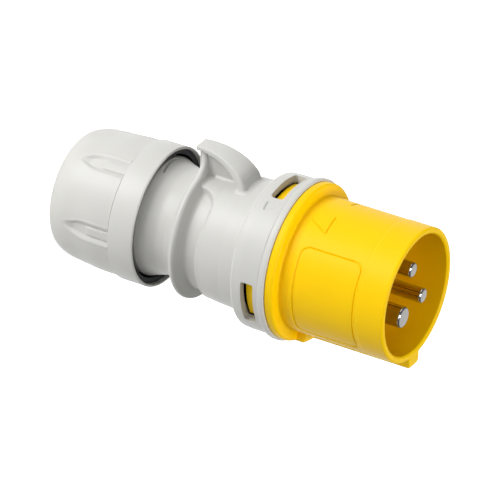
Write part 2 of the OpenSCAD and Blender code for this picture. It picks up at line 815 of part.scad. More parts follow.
// Keyed sleeve in the neck with a flange behind it and slotted fingers in the nut's taper
module clamp_cage() {
    outer_r = finger_r - fit;
    tip_r = finger_tip_r - fit;
    rim_r = thread_r - 2 * bevel;
    step = 1;
    z_tip = z_finger + 0.2;
    z_top = z_cage + cage_flange_t;
    z_end = z_top + cage_sleeve_len;
    color(dark_grey)
        difference() {
            union() {
                rotate_extrude()
                    polygon([
                        [cage_bore_r - step, z_tip], [tip_r, z_tip], [outer_r, z_shoulder - step],
                        [outer_r, z_cage], [rim_r, z_cage], [rim_r, z_top], [cage_r, z_top], [cage_r, z_end],
                        [cage_bore_r, z_end], [cage_bore_r, z_cage], [cage_bore_r - step, z_cage - step]
                    ]);
                for (a = keyway_angles)
                    sector(cage_r - 0.3, bore_r + 0.9, z_top - 0.2, z_end - 1, a, keyway_angle - 1.5);
            }
            for (i = [0:finger_count - 1])
                rotate([0, 0, (i + 0.5) * 360 / finger_count])
                    translate([0, -finger_slot / 2, z_finger - past])
                        cube([far, finger_slot, z_shoulder - z_finger + bevel]);
        }
}

// Rubber seal round the cable, inside the cage and its fingers
module gland_seal() {
    outer_r = cage_bore_r - 2 * seat;
    finger_side_r = cage_bore_r - 1.3;
    inner_r = seal_bore / 2;
    z_back = z_finger + bevel;
    z_end = z_cage + cage_sleeve_len;
    color(black)
        rotate_extrude()
            polygon([
                [inner_r + 0.6, z_back], [finger_side_r, z_back], [finger_side_r, z_cage - 1],
                [outer_r, z_cage + 0.2], [outer_r, z_end], [inner_r + 0.8, z_end],
                [inner_r, z_end - 2], [inner_r, z_back + 1]
            ]);
}

housing();
face_seal();
shroud();
contact_carrier();
pin_line();
pin_neutral();
pin_earth();
wire_plate_line();
wire_plate_neutral();
wire_plate_earth();
terminal_screws();
earth_screw();
carrier_screws();
gland_nut();
nut_sleeve();
thrust_washer();
clamp_cage();
gland_seal();
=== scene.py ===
import bpy
import numpy as np
from mathutils import Matrix


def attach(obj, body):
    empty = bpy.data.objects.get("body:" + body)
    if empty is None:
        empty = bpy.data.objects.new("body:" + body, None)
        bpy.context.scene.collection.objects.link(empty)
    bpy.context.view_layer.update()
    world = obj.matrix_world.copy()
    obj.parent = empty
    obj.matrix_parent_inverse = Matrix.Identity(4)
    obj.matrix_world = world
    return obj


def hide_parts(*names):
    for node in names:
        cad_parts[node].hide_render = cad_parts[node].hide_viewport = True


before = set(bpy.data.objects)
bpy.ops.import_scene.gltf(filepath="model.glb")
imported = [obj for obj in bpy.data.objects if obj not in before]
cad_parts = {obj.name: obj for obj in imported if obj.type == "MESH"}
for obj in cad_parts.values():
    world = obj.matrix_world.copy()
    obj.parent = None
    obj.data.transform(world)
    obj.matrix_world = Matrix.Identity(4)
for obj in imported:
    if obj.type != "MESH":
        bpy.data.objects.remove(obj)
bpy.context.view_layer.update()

mm = 0.001
scene = bpy.context.scene
print("frame loaded")


# Outlines, grids and meshes

# A path of [radius, height, rounding] corners, in mm: at each corner an arc of that rounding touches
# both neighbouring sides.
def roundedPath(corners, steps=5):
    corners = np.array(corners, float)
    point, rounding = corners[:, :2], corners[:, 2]
    before, after = np.roll(point, 1, 0) - point, np.roll(point, -1, 0) - point
    before /= np.maximum(np.linalg.norm(before, axis=1, keepdims=True), 1e-9)
    after /= np.maximum(np.linalg.norm(after, axis=1, keepdims=True), 1e-9)
    rounding = np.where(np.arange(len(point)) % (len(point) - 1) == 0, 0, rounding)
    half = np.arccos(np.clip((before * after).sum(1), -1, 1)) / 2
    middle = before + after
    middle /= np.maximum(np.linalg.norm(middle, axis=1, keepdims=True), 1e-9)
    centre = point + middle * (rounding / np.maximum(np.sin(half), 1e-6))[:, None]
    turn = (np.pi / 2 - half)[:, None] * np.linspace(-1, 1, steps)[None, :]
    across = before - (before * middle).sum(1, keepdims=True) * middle
    across /= np.maximum(np.linalg.norm(across, axis=1, keepdims=True), 1e-9)
    arc = centre[:, None] - rounding[:, None, None] * (
        np.cos(turn)[..., None] * middle[:, None] + np.sin(turn)[..., None] * across[:, None])
    path = arc.reshape(-1, 2)
    keep = np.append(True, np.linalg.norm(np.diff(path, axis=0), axis=1) > 1e-4)
    return path[keep]


# The same path with points added, so that none lie further apart than step, measured along it.
def divided(path, step):
    along = np.append(0, np.cumsum(np.linalg.norm(np.diff(path, axis=0), axis=1)))
    places = np.union1d(along, np.arange(0, along[-1], step))
    places = places[np.append(True, np.diff(places) > 0.02)]
    return np.stack([np.interp(places, along, path[:, 0]), np.interp(places, along, path[:, 1])], -1)


# Soft step from 0 to 1: 3 t squared less 2 t cubed.
def ease(t):
    t = np.clip(t, 0, 1)
    return t * t * (3 - 2 * t)


# Distance from a corner, inside which both a and b are below 0: straight or diagonal outside it, and
# below 0 inside.
def cornerDistance(a, b):
    return np.hypot(np.maximum(a, 0), np.maximum(b, 0)) + np.minimum(np.maximum(a, b), 0)


# An angle in radians, brought between minus and plus half a turn.
def wrapped(angle):
    return (angle + np.pi) % (2 * np.pi) - np.pi


# Points at a radius and a height round the Z axis, with the angle in radians.
def around(radius, height, angle):
    radius, height, angle = np.broadcast_arrays(radius, height, angle)
    return np.stack([radius * np.cos(angle), radius * np.sin(angle), height], -1)


# A path of [radius, height] points turned round the Z axis.
def turnedPath(path, columns):
    return around(path[:, :1], path[:, 1:], columns)


# Angles all the way round, plain degrees apart, with others in their place where a (from, to, step) of
# fine, in degrees, asks for closer ones.
def angleColumns(plain, fine=()):
    coarse, others = np.arange(-180, 180, plain), []
    for start, end, step in fine:
        coarse = coarse[(coarse < start) | (coarse > end)]
        others.append(np.arange(start, end + step / 2, step))
    return np.radians(np.unique(np.round(np.concatenate([coarse, *others]), 4)))


# A grid of points, in mm, as one closed part of a mesh: four-sided faces between neighbouring points,
# with the last column next to the first, and the last row too where loopRows says so. The sign of the
# volume inside, a sum of triple products, tells whether the faces have to be turned to point outwards.
def shell(points, loopRows=False):
    rows, columns = points.shape[:2]
    i, j = np.arange(rows if loopRows else rows - 1)[:, None], np.arange(columns)[None, :]
    nextRow, nextColumn = (i + 1) % rows * columns, (j + 1) % columns
    faces = [i * columns + j, i * columns + nextColumn, nextRow + nextColumn, nextRow + j]
    faces = np.stack(np.broadcast_arrays(*faces), -1).reshape(-1, 4)
    points = points.reshape(-1, 3)
    corner = points[faces]
    volume = (corner[:, 0] * np.cross(corner[:, 1], corner[:, 2])).sum()
    volume += (corner[:, 0] * np.cross(corner[:, 2], corner[:, 3])).sum()
    return points, faces if volume > 0 else faces[:, ::-1]


# Named blocks of rows as one closed part, less the open cells of its outer and its inner block, which run
# opposite ways. Where an open cell lies next to a closed one, a wall joins the two blocks: each of sides
# is the step to the cell beside it, and the two corners of the edge between them.
def openedShell(blocks, outerName, innerName, opened, loopRows=False):
    grid = np.concatenate(list(blocks.values()))
    points, faces = shell(grid, loopRows)
    ends = np.cumsum([len(block) for block in blocks.values()])
    number = np.arange(len(points)).reshape(grid.shape[:2])
    rows = dict(zip(blocks, np.split(number, ends[:-1])))
    outer, inner = rows[outerName], rows[innerName]
    keep = np.ones(len(faces), bool)
    keep[outer[:-1][opened]] = False
    keep[inner[:-1][opened[::-1]]] = False
    inner, padded = inner[::-1], np.pad(opened, ((1, 1), (0, 0)))
    sides = (((-1, 0), (0, 0), (0, 1)), ((1, 0), (1, 1), (1, 0)),
             ((0, -1), (1, 0), (0, 0)), ((0, 1), (0, 1), (1, 1)))
    walls = []
    for (down, along), first, second in sides:
        beside = np.roll(padded[1 + down:1 + down + len(opened)], -along, 1)
        i, j = np.nonzero(opened & ~beside)
        a = (i + first[0], (j + first[1]) % grid.shape[1])
        b = (i + second[0], (j + second[1]) % grid.shape[1])
        walls.append(np.stack([outer[a], outer[b], inner[b], inner[a]], -1))
    return points, np.concatenate([faces[keep], *walls])


# Joins parts into one object, in metres: equal points are merged, a face with two equal corners becomes
# a triangle, and one that shrinks to a line is dropped. Edges sharper than sharpAngle stay sharp.
def addPiece(name, parts, material, body, nodes, sharpAngle=38):
    points, faces, count = [], [], 0
    for partPoints, partFaces in parts:
        places, index = np.unique(np.round(partPoints, 5), axis=0, return_inverse=True)
        points.append(places)
        faces.append(index.reshape(-1)[partFaces] + count)
        count += len(places)
    points, faces = np.concatenate(points) * mm, np.concatenate(faces)
    corner = faces != np.roll(faces, -1, 1)
    whole = corner.sum(1) > 2
    faces, corner = faces[whole], corner[whole]
    total = corner.sum(1)
    mesh = bpy.data.meshes.new(name)
    mesh.vertices.add(len(points))
    mesh.vertices.foreach_set("co", points.ravel())
    mesh.loops.add(int(total.sum()))
    mesh.loops.foreach_set("vertex_index", faces[corner])
    mesh.polygons.add(len(faces))
    mesh.polygons.foreach_set("loop_start", np.append(0, np.cumsum(total)[:-1]))
    mesh.polygons.foreach_set("use_smooth", np.ones(len(faces), bool))
    mesh.update(calc_edges=True)
    mesh.validate()
    mesh.set_sharp_from_angle(angle=np.radians(sharpAngle))
    mesh.materials.append(material)
    piece = bpy.data.objects.new(name, mesh)
    scene.collection.objects.link(piece)
    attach(piece, body)
    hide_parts(*nodes)
    print(name, len(mesh.polygons), "faces")


# Materials

# Each has a fine grain in its bump, a little change in gloss and a faint one in colour.
def newMaterial(name, look):
    material = bpy.data.materials.new(name)
    material.use_nodes = True
    nodes, links = material.node_tree.nodes, material.node_tree.links
    shader = nodes["Principled BSDF"]
    shader.inputs["Metallic"].default_value = look.get("metal", 0)
    shader.inputs["Specular IOR Level"].default_value = look.get("specular", 0.5)
    place = nodes.new("ShaderNodeTexCoord")
    stretch = nodes.new("ShaderNodeMapping")
    stretch.inputs["Scale"].default_value = look.get("stretch", (1, 1, 1))
    links.new(place.outputs["Object"], stretch.inputs["Vector"])

    grain = nodes.new("ShaderNodeTexNoise")
    grain.inputs["Scale"].default_value = look["grainScale"]
    grain.inputs["Detail"].default_value = 3
    links.new(stretch.outputs["Vector"], grain.inputs["Vector"])
    bump = nodes.new("ShaderNodeBump")
    bump.inputs["Strength"].default_value = look["grainStrength"]
    bump.inputs["Distance"].default_value = look["grainDepth"] * mm
    links.new(grain.outputs["Fac"], bump.inputs["Height"])
    links.new(bump.outputs["Normal"], shader.inputs["Normal"])

    cloud = nodes.new("ShaderNodeTexNoise")
    cloud.inputs["Scale"].default_value = look["cloudScale"]
    cloud.inputs["Detail"].default_value = 4
    links.new(stretch.outputs["Vector"], cloud.inputs["Vector"])
    gloss = nodes.new("ShaderNodeMapRange")
    gloss.inputs["To Min"].default_value = look["roughness"] - look["roughnessSpread"]
    gloss.inputs["To Max"].default_value = look["roughness"] + look["roughnessSpread"]
    links.new(cloud.outputs["Fac"], gloss.inputs["Value"])
    links.new(gloss.outputs["Result"], shader.inputs["Roughness"])

    tint = nodes.new("ShaderNodeValToRGB")
    colour, change = np.array(look["colour"]), look["colourSpread"]
    tint.color_ramp.elements[0].position = 0.3
    tint.color_ramp.elements[0].color = (*(colour * (1 - change)), 1)
    tint.color_ramp.elements[1].position = 0.7
    tint.color_ramp.elements[1].color = (*np.clip(colour * (1 + change), 0, 1), 1)
    links.new(cloud.outputs["Fac"], tint.inputs["Fac"])
    links.new(tint.outputs["Color"], shader.inputs["Base Color"])
    return material


looks = {
    "greyPlastic": dict(
        colour=(0.6, 0.597, 0.568), colourSpread=0.012, roughness=0.4, roughnessSpread=0.05,
        grainScale=2600, grainStrength=0.25, grainDepth=0.03, cloudScale=55),
    "yellowPlastic": dict(
        colour=(1.0, 0.62, 0.0), colourSpread=0.015, roughness=0.42, roughnessSpread=0.05,
        grainScale=2200, grainStrength=0.15, grainDepth=0.02, cloudScale=60, specular=0.12),
    "nickelPlate": dict(
        colour=(0.62, 0.605, 0.58), colourSpread=0.03, roughness=0.15, roughnessSpread=0.05,
        grainScale=900, grainStrength=0.2, grainDepth=0.01, cloudScale=120, metal=1, stretch=(1, 1, 8)),
    "zincSteel": dict(
        colour=(0.6, 0.61, 0.63), colourSpread=0.06, roughness=0.32, roughnessSpread=0.08,
        grainScale=1500, grainStrength=0.3, grainDepth=0.02, cloudScale=300, metal=1),
    "darkPlastic": dict(
        colour=(0.045, 0.045, 0.05), colourSpread=0.08, roughness=0.5, roughnessSpread=0.06,
        grainScale=2400, grainStrength=0.3, grainDepth=0.03, cloudScale=70),
    "blackRubber": dict(
        colour=(0.028, 0.03, 0.031), colourSpread=0.08, roughness=0.62, roughnessSpread=0.08,
        grainScale=1800, grainStrength=0.35, grainDepth=0.04, cloudScale=90, specular=0.35),
}
materials = {name: newMaterial(name, look) for name, look in looks.items()}

# which look each solid of the frame gets, also where a piece of this script stands for it
nodeLooks = {
    "housing": "greyPlastic", "gland_nut": "greyPlastic", "shroud": "yellowPlastic",
    "pin_line": "nickelPlate", "pin_neutral": "nickelPlate", "pin_earth": "nickelPlate",
    "wire_plate_line": "zincSteel", "wire_plate_neutral": "zincSteel", "wire_plate_earth": "zincSteel",
    "terminal_screws": "zincSteel", "earth_screw": "zincSteel", "carrier_screws": "zincSteel",
    "contact_carrier": "darkPlastic", "thrust_washer": "darkPlastic", "clamp_cage": "darkPlastic",
    "nut_sleeve": "blackRubber", "face_seal": "blackRubber", "gland_seal": "blackRubber",
}
for name, look in nodeLooks.items():
    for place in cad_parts[name].material_slots:
        place.material = materials[look]
print("materials ready")


# Gland nut

nut = {
    "length": 33.6, "endRadius": 17.6, "domeWidth": 4.2, "domeLength": 10,
    "taper": 0.8, "taperStart": 8, "taperLength": 11,
    "ringStart": 24.6, "ringRadius": 23.3, "seamDepth": 0.45, "seamWidth": 0.4,
    "mouthRadius": 22.4, "mouthFloor": 26, "threadRadius": 19.4, "threadFloor": 9.1,
    "coneRadius": 15.9, "coneTop": 8.1, "seatRadius": 13.3, "seatTop": 3.6, "floor": 3, "inletRadius": 8.5,
    "pockets": (-150, -90, -30, 30, 90, 150), "pocketTip": 6.3, "pocketFull": 15.6, "pocketHalf": 3.3,
    "pocketDepth": 0.9, "pocketSlope": 0.55, "pocketFade": 5, "lipHeight": 0.14, "lipAway": 0.15,
    "lipWidth": 0.3, "padStart": 15.6, "padHalf": 1.6, "padHeight": 0.42, "padEdge": 0.45, "columns": 0.75,
}


# Quarter oval from the flat end, then a slow growth towards the ring.
def nutRadius(z):
    dome = nut["domeWidth"] * np.sqrt(1 - (1 - np.clip(z / nut["domeLength"], 0, 1)) ** 2)
    return nut["endRadius"] + dome + nut["taper"] * ease((z - nut["taperStart"]) / nut["taperLength"])


# Change of the nut's radius by its grip pockets. A pocket is a leaf whose half width grows with the sine
# of the height, with sloping sides and a soft lip, and a flat pad with steep sides on its floor.
def pocketHeight(z, angle):
    grown = np.clip((z - nut["pocketTip"]) / (nut["pocketFull"] - nut["pocketTip"]), 0, 1)
    half = nut["pocketHalf"] * np.sin(np.pi / 2 * grown)
    slope = np.maximum(nut["pocketSlope"] * half, 0.05)
    fade = ease((z - nut["pocketTip"]) / nut["pocketFade"])
    padFade = ease((z - nut["padStart"]) / nut["padEdge"])
    height = 0
    for middle in nut["pockets"]:
        side = np.abs(wrapped(angle - np.radians(middle))) * nutRadius(z)
        depth = nut["pocketDepth"] * fade * ease((half - side) / slope)
        lip = nut["lipHeight"] * fade * np.exp(-((side - half - nut["lipAway"]) / nut["lipWidth"]) ** 2)
        pad = ease((nut["padHalf"] - side) / nut["padEdge"] + 0.5) * padFade
        height = height + lip - depth + nut["padHeight"] * pad
    return height


# The outside, with its pockets, then the ring, the mouth and the bore back to the flat end, all turned
# round the axis.
def makeNut():
    columns = angleColumns(nut["columns"])
    start, ring, mouth, length = nut["ringStart"], nut["ringRadius"], nut["mouthRadius"], nut["length"]
    thread, cone, seat = nut["threadRadius"], nut["coneRadius"], nut["seatRadius"]
    inlet, end = nut["inletRadius"], nut["endRadius"]
    oval = np.radians(np.linspace(-90, 0, 22))[:, None]
    domeZ = nut["domeLength"] * (1 + np.sin(oval))
    wallZ = np.linspace(nut["domeLength"], start - nut["seamWidth"], 50)[1:, None]
    z = np.concatenate([domeZ, wallZ])
    outside = around(nutRadius(z) + pocketHeight(z, columns), z, columns)
    seam = nutRadius(start) - nut["seamDepth"]
    path = roundedPath([
        (seam, start - nut["seamWidth"] + 0.05, 0), (seam, start, 0.05), (ring, start, 0.3),
        (ring, length, 0.5), (mouth, length, 0.35), (mouth, nut["mouthFloor"], 0.1),
        (thread, nut["mouthFloor"], 0.15), (thread, nut["threadFloor"], 0.1),
        (cone, nut["threadFloor"], 0.1), (cone, nut["coneTop"], 0.1),
        (seat, nut["seatTop"], 0.1), (seat, nut["floor"], 0.1),
        (inlet, nut["floor"], 0.3), (inlet, 0, 0.5), (12, 0, 0), (end - 0.2, 0, 0)])
    grid = np.concatenate([outside, turnedPath(path, columns)])
    addPiece("glandNut", [shell(grid, loopRows=True)], materials["greyPlastic"], "gland", ["gland_nut"])


makeNut()


# Housing: neck, guard disc with the hook's tab, body with its saddle, flare and windowed collar

housing = {
    "columns": 3, "fineColumns": 0.8, "neckEnd": 13, "chamfer": 0.6,
    "threadRadius": 19.3, "threadEnd": 32.3, "pitch": 3, "threadDepth": 0.9, "threadRow": 0.6,
    "threadIn": (0.8, 1.5), "threadOut": (1.2, 2.4), "ringStart": 30.6, "ringRadius": 19.7, "ringRise": 0.5,
    "fineStart": 29.6, "fineEnd": 34.6, "fineRow": 0.2,
    "slit": ((33.3, -20), (33, -15), (32.8, -9), (32.8, -3.5), (33.05, 3.4), (33.5, 9.5), (33.9, 14.5)),
    "slitHalf": 0.25, "slitDepth": 1, "slitFade": (10, 3),
    "waistRadius": 17.5, "neck": ((1.1, 3, 3), (0.1, 6.5, 6), (0, 9.3, 2), (0.5, 11.7, 2), (1.5, 13.3, 1)),
    "rootProud": 2.5, "rootHeight": 45.8,
    "discRadius": 22.9, "discStart": 46.4, "discThickness": 2.2, "discCone": 65,
    "grooveRadius": 18.7, "grooveFloor": 50.9, "grooveHollow": 1.2, "stepWidth": 1.7, "stepEnd": 57.6,
    "bodyRadius": 20.7, "bodyFull": 56.4, "flareStart": 64.2, "flareRadius": 21.3, "flareHollow": 1.6,
    "shoulder": 71, "shoulderRounding": 0.9, "collarStart": 74, "collarRadius": 25.6, "seamRadius": 25.3,
    "lipStart": 81.2, "lipRadius": 26.6, "face": 83.4, "mouthRadius": 21.8,
    "sealOuter": 25.4, "sealInner": 24.1, "sealDepth": 1.1,
    "bore": ((21.5, 73.6, 0.3), (18.9, 69.7, 0.5), (18.9, 55.6, 0.5), (16.9, 53.6, 0.5), (16.9, 50.2, 0.5),
             (14.6, 47.4, 0.5), (14.6, 13, 0)),
}
# where the body's rear edge runs, as [angle from the hook in degrees, height in mm]
saddleEdge = np.array([
    (0, 43), (10, 44.5), (15, 46.5), (19.3, 48.9), (21.7, 51.6), (26, 53.9), (29, 54.8), (35, 55.7),
    (42, 55.9), (50, 55.8), (60, 55.4), (71, 54.9), (82, 54.7), (180, 54.7)])
window = {
    "middles": (-104, 0, 104), "halfAngle": 18.4, "start": 74.75, "end": 79.25, "rounding": 0.8,
    "cell": 0.25, "innerRadius": 23.3,
}
hook = {
    "height": 31, "axisHeight": 47.3, "baseHeight": 17, "reach": 17.9, "edge": 0.6,
    "tip": 44.5, "tipHalf": 3, "bandThickness": 1.7, "droop": 0.15,
    "footHalf": 5.7, "footThickness": 3, "footRounding": 3, "footStart": 61.3,
    "toeTop": 24.6, "toeLength": 3.4, "toe": 1.1,
    "web": (45.6, 63.6), "webHalf": 1.2, "webRounding": 0.9, "webStart": 48.5, "filletEnds": (46, 63),
    "tabFoot": 20.1, "tabHalf": 2.3, "tabRounding": 0.8, "lean": 2.07, "leanStart": 20.5, "leanLength": 10,
}
# corners as [height in mm, angle in degrees]
triangle = {"corners": ((74.9, 22.9), (78.9, 25.6), (75.1, 30.4)), "depth": 0.4, "edge": 0.3}


# Angles round the housing: closer towards the hook and at the windows, and closest at the triangle.
def housingColumns():
    fine = housing["fineColumns"]
    near = window["halfAngle"] + 3
    sides = [(middle - near, middle + near, fine) for middle in window["middles"] if middle]
    return angleColumns(housing["columns"], [(-51, 51, fine), *sides, (21.8, 32.2, fine / 2)])


# The neck's thread and the ring behind it. The thread is the radius less the depth of a soft wave that
# climbs one pitch a turn, and the wave fades at both ends.
def threadRows(columns):
    start, end, fine = housing["neckEnd"], housing["threadEnd"], housing["fineRow"]
    z = np.concatenate([
        [start, start + 0.5], np.arange(start + 1, housing["fineStart"] - fine, housing["threadRow"]),
        np.arange(housing["fineStart"], end, fine)])[:, None]
    wave = 0.5 - 0.5 * np.cos(2 * np.pi * (z / housing["pitch"] - columns / (2 * np.pi)))
    (plainStart, fadeStart), (plainEnd, fadeEnd) = housing["threadIn"], housing["threadOut"]
    fade = ease((z - start - plainStart) / fadeStart) * ease((end - plainEnd - z) / fadeEnd)
    radius = housing["threadRadius"] - housing["threadDepth"] * wave ** 3 * fade
    ring = (housing["ringRadius"] - housing["threadRadius"]) * ease(
        (z - housing["ringStart"]) / housing["ringRise"])
    chamfer = housing["chamfer"] * ease((start + housing["chamfer"] - z) / housing["chamfer"])
    return around(radius + ring - chamfer - slit(z, columns), z, columns)


# Depth of the short dark slit on the neck: a groove along a line through [height, angle] points, which
# fades at both ends.
def slit(z, angle):
    height, turned = np.array(housing["slit"]).T
    first, last = housing["slitFade"]
    degrees = np.degrees(angle)
    inside = ease((degrees - turned[0]) / first) * ease((turned[-1] - degrees) / last)
    away = np.abs(z - np.interp(degrees, turned, height))
    return housing["slitDepth"] * inside * ease(1.5 - away / housing["slitHalf"])


# From the ring down a hollow cone to the waist and out to the disc's root: a rounded path, less the slit,
# with every row up to the slit's end and every fourth behind it. A corner of the neck is [how far outside
# the waist, how far from the thread's end, rounding].
def neckRows(columns):
    end, ring, waist = housing["threadEnd"], housing["ringRadius"], housing["waistRadius"]
    neck = [(waist + out, end + along, rounding) for out, along, rounding in housing["neck"]]
    root = (waist + housing["rootProud"], housing["rootHeight"], 0)
    path = roundedPath([(ring, end - 0.4, 0), (ring, end, 0.3), *neck, root], 6)
    path = divided(path, housing["fineRow"])[1:-1]
    path = path[(path[:, 1] < housing["fineEnd"]) | (np.arange(len(path)) % 4 == 0)]
    z = path[:, 1:] + 0 * columns
    return around(path[:, :1] - slit(z, columns), z, columns)


# The disc's rim seen along the axis: a circle, and round the hook's tab an edge that narrows towards the
# top by the cube of what is left of its height. Also its normals, and which columns are the tab's.
def discOutline(columns):
    radius, foot = housing["discRadius"], hook["tabFoot"]
    top = hook["height"] - hook["bandThickness"] / 2
    t = np.linspace(0, 1, 60)
    rimHalf = np.sqrt(radius ** 2 - foot ** 2)
    half = hook["tabHalf"] + (rimHalf - hook["tabHalf"]) * (1 - t) ** 3
    x = np.append(top, (foot + (top - foot) * t)[::-1])
    y = np.append(0, half[::-1])
    along = np.append(0, np.cumsum(np.hypot(np.diff(x), np.diff(y))))
    edge = np.arctan2(rimHalf, foot)
    place = np.abs(columns) / edge * along[-1]
    tab = np.abs(columns) < edge
    points = np.stack([
        np.where(tab, np.interp(place, along, x), radius * np.cos(columns)),
        np.where(tab, np.sign(columns) * np.interp(place, along, y), radius * np.sin(columns))], -1)
    step = np.roll(points, -1, 0) - np.roll(points, 1, 0)
    normal = np.stack([step[:, 1], -step[:, 0]], -1) / np.linalg.norm(step, axis=1, keepdims=True)
    return points, normal, tab


# How far the tab leans back at a height: the fourth power of what it has risen.
def tabLean(height):
    return hook["lean"] * np.clip((height - hook["leanStart"]) / hook["leanLength"], 0, 1.05) ** 4


# Rear face, rounded rim and front face of the disc, then the hollow at the groove's foot. The front is a
# cone that turns into a hollow where the saddle reaches it, and the tab leans back with height.
def discRows(columns):
    points, normal, tab = discOutline(columns)
    half, cone = housing["discThickness"] / 2, np.radians(housing["discCone"])
    middle = housing["discStart"] + half
    circle = np.stack([np.cos(columns), np.sin(columns)], -1)

    root = circle * (housing["waistRadius"] + housing["rootProud"])
    rimRear = points - half * normal
    t = np.linspace(0, 1, 9)[:, None, None]
    rear = root + (rimRear - root) * t
    rise = (housing["discStart"] - housing["rootHeight"]) * np.sin(np.pi / 2 * t[..., 0])
    rearZ = housing["rootHeight"] + rise + 0 * columns

    turn = np.radians(np.linspace(-80, housing["discCone"], 9))[:, None, None]
    rim = points - half * (1 - np.cos(turn)) * normal
    rimZ = middle + half * np.sin(turn[..., 0]) + 0 * columns

    floor = bodyRadius(np.full((1, 1), housing["grooveFloor"]), columns)[0]
    saddle = (floor - housing["grooveRadius"]) / (housing["bodyRadius"] - housing["grooveRadius"])
    hollow = housing["grooveHollow"] * (1 - saddle)
    rimFront = points - half * (1 - np.cos(cone)) * normal
    rimFrontZ = middle + half * np.sin(cone)
    foot = floor + hollow * (1 - np.cos(cone))
    footZ = housing["grooveFloor"] - housing["grooveHollow"] * np.sin(cone)
    t = np.linspace(0, 1, 10)[1:, None, None]
    front = rimFront + (circle * foot[:, None] - rimFront) * t
    rimReach = housing["discRadius"] - half * (1 - np.cos(cone))
    fall = np.clip((rimReach - np.linalg.norm(front, axis=2)) / (rimReach - foot), 0, 1)
    fall = (1 - saddle) * fall + saddle * (1 - np.sqrt(1 - fall ** 2))
    frontZ = rimFrontZ + (footZ - rimFrontZ) * fall

    turn = np.pi + cone * np.linspace(1, 0, 6)[1:-1, None]
    hollowRows = (floor + hollow * (1 + np.cos(turn)))[..., None] * circle
    hollowZ = housing["grooveFloor"] + housing["grooveHollow"] * np.sin(turn) + 0 * columns

    plan = np.concatenate([rear, rim, front, hollowRows])
    z = np.concatenate([rearZ, rimZ, frontZ, hollowZ])
    return np.concatenate([plan, (z - tabLean(plan[..., 0]) * tab)[..., None]], -1)


# The groove's radius, and the body's in front of a soft step whose place follows the saddle's edge,
# smoothed over 5 degrees, and which is wider where that edge climbs.
def bodyRadius(z, angle):
    degrees = np.abs(np.degrees(angle))
    kernel = np.hanning(21) / np.hanning(21).sum()
    turned = np.linspace(0, 180, 721)
    edge = np.interp(turned, saddleEdge[:, 0], saddleEdge[:, 1])
    smooth = np.convolve(np.pad(edge, 10, "edge"), kernel, "valid")
    place = np.interp(degrees, turned, smooth)
    slope = np.interp(degrees, turned, np.gradient(smooth, np.radians(turned) * housing["bodyRadius"]))
    width = housing["stepWidth"] * np.sqrt(1 + np.clip(slope, 0, 1.6) ** 2)
    full = housing["bodyFull"]
    grown = np.sin(np.pi / 2 * np.clip((z - full) / (housing["flareStart"] - full), 0, 1))
    body = housing["bodyRadius"] + (housing["flareRadius"] - housing["bodyRadius"]) * grown
    return housing["grooveRadius"] + (body - housing["grooveRadius"]) * ease((z - place) / width + 0.5)


# Height of a hollow quarter round at a distance from a wall: its rounding less the circle's height there.
def fillet(distance, rounding):
    left = np.clip(rounding - distance, 0, rounding)
    return rounding - np.sqrt(np.maximum(rounding ** 2 - left ** 2, 0))


# Hollow rounds on the body beside the hook's web and its foot, by the distance from each one's outline.
# The foot's is squeezed behind and beside it, and 60 mm keep both off the side away from the hook.
def hookFillet(z, angle):
    across = np.abs(np.sin(angle)) * housing["bodyRadius"] + 60 * (np.cos(angle) < 0)
    rear, front = hook["filletEnds"]
    web = np.maximum(across - hook["webHalf"], np.maximum(rear - z, z - front))
    dz = np.maximum(z - front, 2.5 * (hook["footStart"] - z))
    dy = 1.6 * (across - hook["footHalf"] + hook["toe"])
    foot = np.maximum(cornerDistance(dz, dy), 0)
    return np.maximum(fillet(np.maximum(web, 0), hook["webRounding"]), fillet(foot, hook["footRounding"]))


# The groove and the body, in rows that are closer over the saddle's step.
def bodyRows(columns):
    near = np.arange(housing["grooveFloor"], housing["stepEnd"], 0.25)
    far = np.arange(housing["stepEnd"] + 0.2, housing["flareStart"], 0.45)
    z = np.concatenate([near, far])[:, None]
    return around(bodyRadius(z, columns) + hookFillet(z, columns), z, columns)


# The body runs on into a hollow, then a steep step with a rounded edge up to the collar.
def flareRows(columns):
    foot, top = housing["flareRadius"], housing["collarRadius"]
    start, shoulder = housing["flareStart"], housing["shoulder"]
    path = divided(roundedPath([
        (foot, start - 1, 0), (foot + 0.5, shoulder - 1, housing["flareHollow"]),
        (top - 0.2, shoulder, housing["shoulderRounding"]), (top, housing["collarStart"], 0)], 7), 0.45)
    path = path[path[:, 1] >= start]
    z = path[:, 1:] + 0 * columns
    return around(path[:, :1] + hookFillet(z, columns), z, columns)


# Heights and angles of the grid through the windows. The points next to a window's outline, by their
# distance from a rectangle with round corners, are moved onto it. Also which cells are open.
def windowGrid(columns):
    cell, rounding = window["cell"], window["rounding"]
    z = np.arange(window["start"] - 3 * cell, window["end"] + 2.4 * cell, cell)[:, None] + 0 * columns
    angle = columns + 0 * z
    radius = housing["collarRadius"]
    halfZ = (window["end"] - window["start"]) / 2
    inside = np.zeros(z.shape, bool)
    for middle in window["middles"]:
        s = wrapped(angle - np.radians(middle)) * radius
        t = z - window["start"] - halfZ
        qs = np.abs(s) - (np.radians(window["halfAngle"]) * radius - rounding)
        qt = np.abs(t) - (halfZ - rounding)
        corner = np.hypot(np.maximum(qs, 0), np.maximum(qt, 0))
        distance = cornerDistance(qs, qt) - rounding
        ns = np.where(corner > 0, np.maximum(qs, 0) / np.maximum(corner, 1e-9), qs > qt)
        nt = np.where(corner > 0, np.maximum(qt, 0) / np.maximum(corner, 1e-9), qs <= qt)
        move = np.where((distance > -0.75 * cell) & (distance < 0.5 * cell), distance, 0)
        angle = angle - move * ns * np.sign(s) / radius
        z = z - move * nt * np.sign(t)
        inside |= distance < 0.5 * cell
    nextColumn = np.roll(inside, -1, 1)
    opened = inside[:-1] & inside[1:] & nextColumn[:-1] & nextColumn[1:]
    return z, angle, opened


